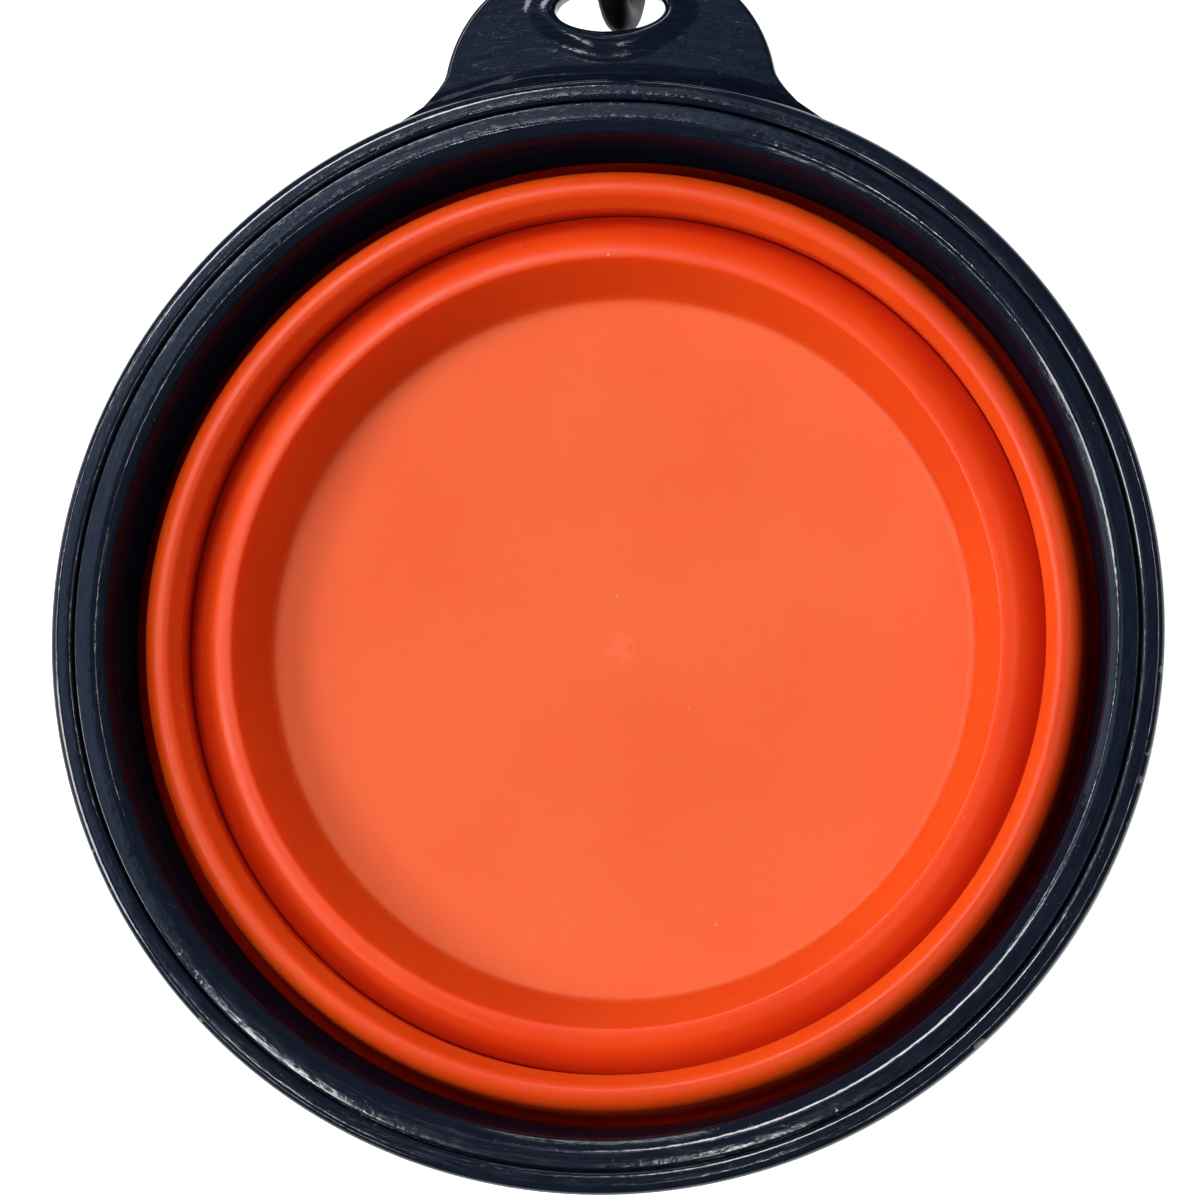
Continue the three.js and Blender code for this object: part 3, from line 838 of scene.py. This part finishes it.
@dataclass
class SoftBowl:
    """Soft bowl: the clamped flange, two thin walls that turn over, the stiff upper ring and the base cup."""

    finishes: Finishes
    lip_inner: float = 56.3
    lip_outer: float = 57.6
    lip_bottom: float = 7.0
    lip_root: float = 55.8
    fold_foot: float = 7.4
    flange_bottom: float = 8.7
    flange_top: float = 10.3
    flange_outer: float = 60.3
    flange_inner: float = 57.0
    upper_fold_foot: float = 56.0
    dome_outer: float = 55.1
    dome_inner: float = 50.8
    dome_crown: float = 52.3
    dome_top: float = 16.0
    dome_edge: float = 13.8
    dome_under: float = 13.4
    ring_top: float = 13.1
    ring_outer_top: float = 53.6
    ring_inner_foot: float = 50.55
    ring_outer_foot: float = 52.4
    ring_foot: float = 3.75
    valley: float = 3.6
    fold_wall: float = 1.0
    wall_inset: float = 0.05
    wall_rows: int = 12
    lower_fold_foot: float = 50.1
    toe: float = 51.8
    toe_top: float = 3.9
    toe_inner: float = 50.8
    heel: float = 50.75
    crest_outer: float = 50.6
    crest_flat: float = 46.8
    crest_inner: float = 45.3
    crest_top: float = 11.8
    crest_edge: float = 9.4
    crest_under: float = 8.2
    crest_fall: float = 0.4
    cup_outer_top: float = 46.16
    foot_outer: float = 44.2
    base_radius: float = 41.8
    base_top: float = 3.6
    base_hollow: float = 0.25
    hollow_radius: float = 39.8
    foot_inner: float = 40.4
    mark_radius: float = 1.6
    mark_edge: float = 0.7
    mark_rise: float = 3.68
    mark_top: float = 3.7
    overlap: float = 0.3

    def build(self) -> None:
        """Build and dress the pieces of the soft bowl."""
        flange, upper_wall, ring = self.flange(), self.upper_wall(), self.upper_ring()
        lower_wall, cup = self.lower_wall(), self.cup()
        for obj, node in ((flange, "bowl_flange"), (upper_wall, "upper_fold_wall"),
                          (ring, "bowl_upper_ring"), (lower_wall, "lower_fold_wall"),
                          (cup, "bowl_base_cup")):
            self.finishes.dress(obj, Slot.SILICONE)
            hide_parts(node)
        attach(flange, Body.RIM.value)
        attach(ring, Body.UPPER_RING.value)
        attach(cup, Body.BASE_CUP.value)
        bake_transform(upper_wall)
        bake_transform(lower_wall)

    def flange(self) -> Piece:
        """The bowl's edge, clamped in the rim, with the lip that the upper wall hangs from."""
        root = self.upper_fold_foot - self.fold_wall
        return Bench.turned("flange_lip", [
            Corner(root, self.lip_bottom, 0.3),
            Corner(self.lip_outer, self.lip_bottom, 0.5),
            Corner(self.lip_outer, self.flange_bottom, 0.2),
            Corner(self.flange_outer, self.flange_bottom, 0.2),
            Corner(self.flange_outer, self.flange_top, 0.2),
            Corner(self.flange_inner, self.flange_top, 0.3),
            Corner(self.lip_inner, self.flange_bottom, 0.3),
            Corner(self.lip_root, self.fold_foot + self.overlap, 0.2),
            Corner(root, self.fold_foot + self.overlap),
        ])

    def skin(self, foot: Corner, top: Corner) -> list[Corner]:
        """Corners in even rows up the outer face of a thin wall."""
        return [Corner(foot.radius + (top.radius - foot.radius) * row / self.wall_rows,
                       foot.height + (top.height - foot.height) * row / self.wall_rows)
                for row in range(self.wall_rows + 1)]

    def lining(self, outer: Sequence[Corner]) -> list[Corner]:
        """Corners down the inner face of a thin wall."""
        return [Corner(corner.radius - self.fold_wall, corner.height) for corner in reversed(outer)]

    def upper_wall(self) -> Piece:
        """The thin wall from the flange's lip up to the dome."""
        outer = self.skin(Corner(self.upper_fold_foot, self.fold_foot),
                          Corner(self.dome_outer - self.wall_inset, self.dome_under + self.overlap))
        return Bench.turned("upper_wall_skin", outer + self.lining(outer))

    def upper_ring(self) -> Piece:
        """The stiff upper ring: a round crest, a sloping inner face and a crisp edge over the valley."""
        return Bench.turned("upper_ring_skin", [
            Corner(self.ring_inner_foot, self.ring_foot, 0.3),
            Corner(self.ring_outer_foot, self.ring_foot, 0.5),
            Corner(self.ring_outer_top, self.ring_top, 0.4),
            Corner(self.dome_outer, self.dome_under, 0.25),
            Corner(self.dome_outer, self.dome_top, 2.2),
            Corner(self.dome_crown, self.dome_top, 0.55),
            Corner(self.dome_inner, self.dome_edge, 0.25),
        ], segments=10)

    def lower_wall(self) -> Piece:
        """The thin wall from the ring's foot across the valley and up into the second crest."""
        foot, under = self.valley, self.valley - self.fold_wall
        outer = self.skin(Corner(self.lower_fold_foot, foot),
                          Corner(self.crest_outer - self.wall_inset, self.crest_under + self.overlap))
        return Bench.turned("lower_wall_skin", [
            replace(outer[0], reach=0.25), *outer[1:], *self.lining(outer[1:]),
            Corner(self.lower_fold_foot - self.fold_wall, under, 0.4),
            Corner(self.toe, under, 0.4),
            Corner(self.toe, self.toe_top, 0.2),
            Corner(self.toe_inner, self.toe_top),
            Corner(self.heel, foot, 0.1),
        ])

    def cup(self) -> Piece:
        """The base cup: second crest with its crisp inner edge, sloping wall and flat base."""
        lean = (self.crest_inner - self.base_radius) / (self.crest_top - self.base_top)
        return Bench.turned("base_cup_skin", [
            Corner(0.0, self.base_hollow),
            Corner(self.hollow_radius, self.base_hollow, 0.5),
            Corner(self.foot_inner, 0.0, 0.2),
            Corner(self.foot_outer, 0.0, 0.9),
            Corner(self.cup_outer_top, self.crest_under, 0.4),
            Corner(self.crest_outer, self.crest_under, 0.15),
            Corner(self.crest_outer, self.crest_edge, 0.3),
            Corner(self.crest_flat, self.crest_top, 1.0),
            Corner(self.crest_inner, self.crest_top, 0.3),
            Corner(self.crest_inner - lean * self.crest_fall, self.crest_top - self.crest_fall),
            Corner(self.base_radius, self.base_top, 1.1),
            Corner(self.mark_radius, self.base_top, 0.3),
            Corner(self.mark_edge, self.mark_rise, 0.2),
            Corner(0.0, self.mark_top),
        ], ends=Ends.ON_AXIS, segments=9)


@dataclass
class Carabiner:
    """Carabiner of bent rod, with a forked gate on a rivet and a latch pin in the nose's notch."""

    finishes: Finishes
    centre: Vector = field(default_factory=lambda: Vector((0.8, 87.3215, 16.2)))
    rod: float = 1.8
    bend: float = 14.2
    side: float = 34.0
    pivot: float = 3.2
    latch: float = 30.8
    rod_end: float = 2.1
    tongue_thick: float = 1.4
    tongue_high: float = 2.6
    tongue_reach: float = 1.7
    tongue_bevel: float = 0.12
    notch_wide: float = 4.0
    fork_half: float = 0.95
    fork_depth: float = 2.39
    fork_over: float = 0.3
    fork_high: float = 6.0
    gate_round: float = 1.1
    gate_angle: float = 35.0
    bore: float = 0.95
    bore_length: float = 11.0
    bore_middle: float = 5.3
    pivot_pin: float = 0.7
    latch_pin: float = 0.6
    pin_length: float = 3.3
    pin_gap: float = 0.2
    pin_bevel: float = 0.2
    pin_sides: int = 24
    sides: int = 32
    bend_steps: int = 28

    def at(self, y: float, z: float) -> Vector:
        """A place in metres from one in the carabiner's own frame in mm."""
        return (self.centre + Vector((0.0, y, z))) * MM

    def build(self) -> None:
        """Build and dress the carabiner's pieces."""
        body, gate = self.body(), self.gate()
        rivet = self.cross_bar("pivot_rivet", self.pivot_pin, self.pin_length, self.pivot, self.pin_bevel)
        catch = self.cross_bar("latch_catch", self.latch_pin, self.pin_length, self.latch, self.pin_bevel)
        for obj, node, slot, on in ((body, "carabiner_body", Slot.ROD, Body.CARABINER),
                                    (gate, "carabiner_gate", Slot.ROD, Body.GATE),
                                    (rivet, "gate_pivot_pin", Slot.STEEL, Body.CARABINER),
                                    (catch, "gate_latch_pin", Slot.STEEL, Body.GATE)):
            self.finishes.dress(obj, slot)
            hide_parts(node)
            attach(obj, on.value)
        for node in ("gate_spring", "gate_plunger"):
            self.finishes.dress(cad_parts[node], Slot.STEEL)

    def cross_bar(self, name: str, radius: float, length: float, y: float, bevel: float = 0.0) -> Piece:
        """A bar across the gate's side of the loop, with its sizes in mm."""
        return Bench.bar(name, radius * MM, length * MM, self.at(y, self.bend), Axis.X, self.pin_sides,
                         bevel * MM)

    def body(self) -> Piece:
        """The bent rod with its two tongues: a disc drawn along the sides and spun round the bends."""
        Bench.clear()
        start = self.pivot - self.rod_end
        nose = self.latch + self.rod_end
        bpy.ops.mesh.primitive_circle_add(vertices=self.sides, radius=self.rod * MM, fill_type="NGON",
                                          location=self.at(start, self.bend), rotation=(math.pi / 2, 0, 0))
        obj = Bench.settled("carabiner_rod")
        bpy.ops.object.mode_set(mode="EDIT")
        bpy.ops.mesh.select_all(action="SELECT")
        for run, bend in ((-start, 0.0), (self.side, self.side), (nose - self.side, None)):
            bpy.ops.mesh.extrude_region_move(TRANSFORM_OT_translate={"value": (0, run * MM, 0)})
            if bend is not None:
                bpy.ops.mesh.spin(steps=self.bend_steps, angle=math.pi, axis=(-1, 0, 0),
                                  center=self.at(bend, 0))
        ends = (self.at(start, self.bend), self.at(nose, self.bend))
        Bench.select(obj, lambda co: any((co - end).length < MERGE for end in ends), "FACE")
        bpy.ops.mesh.edge_face_add()
        Bench.closed(obj, ROD_ANGLE)
        length = self.tongue_reach + self.rod_end + self.rod
        size = Vector((self.tongue_thick, length, self.tongue_high)) * MM
        for name, y in (("hinge_tongue", self.pivot + self.tongue_reach - length / 2),
                        ("nose_tongue", self.latch - self.tongue_reach + length / 2)):
            tongue = Bench.block(name, size, self.at(y, self.bend), self.tongue_bevel * MM)
            if name == "nose_tongue":
                self.notch(tongue)
            obj = Bench.join(obj, tongue)
        return Bench.smooth(obj, ROD_ANGLE)

    def notch(self, tongue: Piece) -> None:
        """Cut the latch pin's notch in the nose's tongue, open to the inside of the loop."""
        half = self.latch_pin + self.pin_gap
        depth = self.tongue_high
        size = Vector((self.notch_wide, 2 * half, depth)) * MM
        Bench.cut(tongue, Bench.block("notch_tool", size, self.at(self.latch, self.bend + half - depth / 2)))

    def gate(self) -> Piece:
        """The gate: a bar with round ends, forked over both tongues and bored for its pins and spring."""
        length = self.latch - self.pivot + 2 * self.rod
        middle = (self.pivot + self.latch) / 2
        obj = Bench.bar("gate_bar", self.rod * MM, length * MM, self.at(middle, self.bend), Axis.Y,
                        self.sides, self.gate_round * MM)
        deep = self.fork_depth + self.rod + self.fork_over
        size = Vector((2 * self.fork_half, deep, self.fork_high)) * MM
        hinge = Bench.block("hinge_fork", size, self.at(self.pivot + self.fork_depth - deep / 2, self.bend))
        nose = Bench.block("nose_fork", size, self.at(self.latch - self.fork_depth + deep / 2, self.bend))
        bore = Bench.bar("spring_bore", self.bore * MM, self.bore_length * MM,
                         self.at(self.pivot + self.fork_depth + self.bore_middle, self.bend), Axis.Y,
                         self.pin_sides)
        across = 4 * self.rod
        rivet = self.cross_bar("rivet_hole", self.pivot_pin + self.pin_gap, across, self.pivot)
        catch = self.cross_bar("catch_hole", self.latch_pin + self.pin_gap, across, self.latch)
        for tool in (hinge, nose, bore, rivet, catch):
            Bench.cut(obj, tool)
        return Bench.smooth(obj, self.gate_angle)


@dataclass
class Lamp:
    """A soft box: where it stands, how large it is and how much light it gives."""

    name: str
    at: Triple
    size: Span
    power: float
    tint: Triple = (1.0, 1.0, 1.0)

    def build(self) -> None:
        """Add the lamp, turned to the bowl."""
        Bench.clear()
        bpy.ops.object.light_add(type="AREA", location=self.at)
        lamp = Bench.named(self.name)
        lamp.data.shape = "RECTANGLE"
        lamp.data.size, lamp.data.size_y = self.size
        lamp.data.energy = self.power
        lamp.data.color = self.tint
        lamp.rotation_euler = (-Vector(self.at)).to_track_quat("-Z", "Y").to_euler()


@dataclass
class Studio:
    """Pale floor, soft light and the camera."""

    floor: Colour = shade(0.93, 0.93, 0.93)
    floor_pale: Colour = shade(0.95, 0.95, 0.95)
    floor_size: float = 8.0
    floor_drop: float = 0.00005
    glow: float = 0.85
    sky: Colour = shade(0.1, 0.12, 0.16)
    tilt: float = 10.05
    toward: Span = (0.763, -0.646)
    roll: float = 0.4
    distance: float = 900.0
    rim_height: float = 21.8
    rim_pixel: Span = (601.8, 631.5)
    rim_radius: float = 65.0
    rim_radius_pixels: float = 562.5
    image: float = 1200.0
    sensor: float = 36.0
    clip: Span = (0.01, 50.0)

    def build(self) -> None:
        """Make the floor, the lamps, the world and the camera."""
        self.make_floor()
        self.make_world()
        for lamp in (
            Lamp("key_box", (-0.34, 0.44, 0.95), (0.34, 0.24), 5.6),
            Lamp("left_box", (-0.8, -0.12, 0.72), (0.34, 0.34), 5.8),
            Lamp("right_box", (0.66, 0.16, 0.86), (0.45, 0.03), 1.0),
            Lamp("far_box", (-0.14, 1.0, 0.42), (0.4, 0.05), 0.5),
            Lamp("side_box", (-0.75, 0.27, 0.75), (0.5, 0.03), 1.5),
            Lamp("line_box", (-0.62, -0.55, 0.72), (0.5, 0.03), 1.1),
            Lamp("low_right_box", (0.38, -0.32, 0.95), (0.6, 0.03), 1.1),
            Lamp("streak_box", (-0.14, 0.17, 0.95), (0.03, 0.012), 0.03),
            Lamp("front_box", (-0.26, -0.094, 0.95), (0.1, 0.03), 0.42),
            Lamp("small_box", (-0.065, -0.116, 0.95), (0.05, 0.03), 0.15),
            Lamp("top_panel", (-0.33, 0.27, 0.93), (0.44, 0.44), 0.54, (0.5, 0.68, 1.0)),
            Lamp("left_wall", (-1.1, 0.1, 0.42), (0.7, 0.4), 0.9, (0.7, 0.83, 1.0)),
        ):
            lamp.build()
        self.make_camera()

    def make_floor(self) -> None:
        """A large pale floor that glows for the camera and in reflections."""
        Bench.clear()
        bpy.ops.mesh.primitive_plane_add(size=self.floor_size, location=(0, 0, -self.floor_drop))
        floor = Bench.named("pale_floor")
        board = NodeBoard("pale_floor")
        cloud = board.step(board.noise(scale=3.0, detail=2.0, weight=0.5), 0.3, 0.7)
        tone = board.mix(cloud, self.floor, self.floor_pale)
        board.wear(Base_Color=tone, Roughness=0.9, Specular_IOR_Level=0.1)
        path = board.add("ShaderNodeLightPath").outputs
        seen = board.calc("MAXIMUM", path["Is Camera Ray"], path["Is Glossy Ray"])
        seen = board.calc("MAXIMUM", seen, path["Is Transmission Ray"])
        board.wear(Emission_Color=shade(1.0, 1.0, 1.0), Emission_Strength=board.times(seen, self.glow))
        floor.data.materials.append(board.material)

    def make_world(self) -> None:
        """An even, dim sky."""
        world = bpy.data.worlds.new("studio_sky")
        world.use_nodes = True
        world.node_tree.nodes["Background"].inputs["Color"].default_value = self.sky
        bpy.context.scene.world = world

    def make_camera(self) -> None:
        """A long lens over the bowl, tilted towards the lower right."""
        tilt = math.radians(self.tilt)
        away = Vector((self.toward[0] * math.sin(tilt), self.toward[1] * math.sin(tilt), math.cos(tilt)))
        away.normalize()
        roll = math.radians(self.roll)
        right = Vector((-math.sin(roll), math.cos(roll), 0)).cross(away).normalized()
        up = away.cross(right)
        scale = self.rim_radius / self.rim_radius_pixels
        half = self.image / 2
        aim = (Vector((0, 0, self.rim_height)) - right * (self.rim_pixel[0] - half) * scale
               + up * (self.rim_pixel[1] - half) * scale)
        Bench.clear()
        bpy.ops.object.camera_add()
        camera = Bench.named("photo_camera")
        camera.data.sensor_width = self.sensor
        camera.data.lens = self.sensor * self.distance / (scale * self.image)
        camera.data.clip_start, camera.data.clip_end = self.clip
        turned = Matrix((right, up, away)).transposed().to_4x4()
        turned.translation = (aim + away * self.distance) * MM
        camera.matrix_world = turned
        bpy.context.scene.camera = camera


def main() -> None:
    """Build the studio and the bowl."""
    logging.basicConfig(level=logging.INFO, format="%(message)s")
    bpy.context.scene.view_settings.view_transform = "Standard"
    Studio().build()
    finishes = Finishes()
    for part in (Rim(finishes), SoftBowl(finishes), Carabiner(finishes)):
        part.build()
    Bench.clear()


if __name__ == "__main__":
    main()
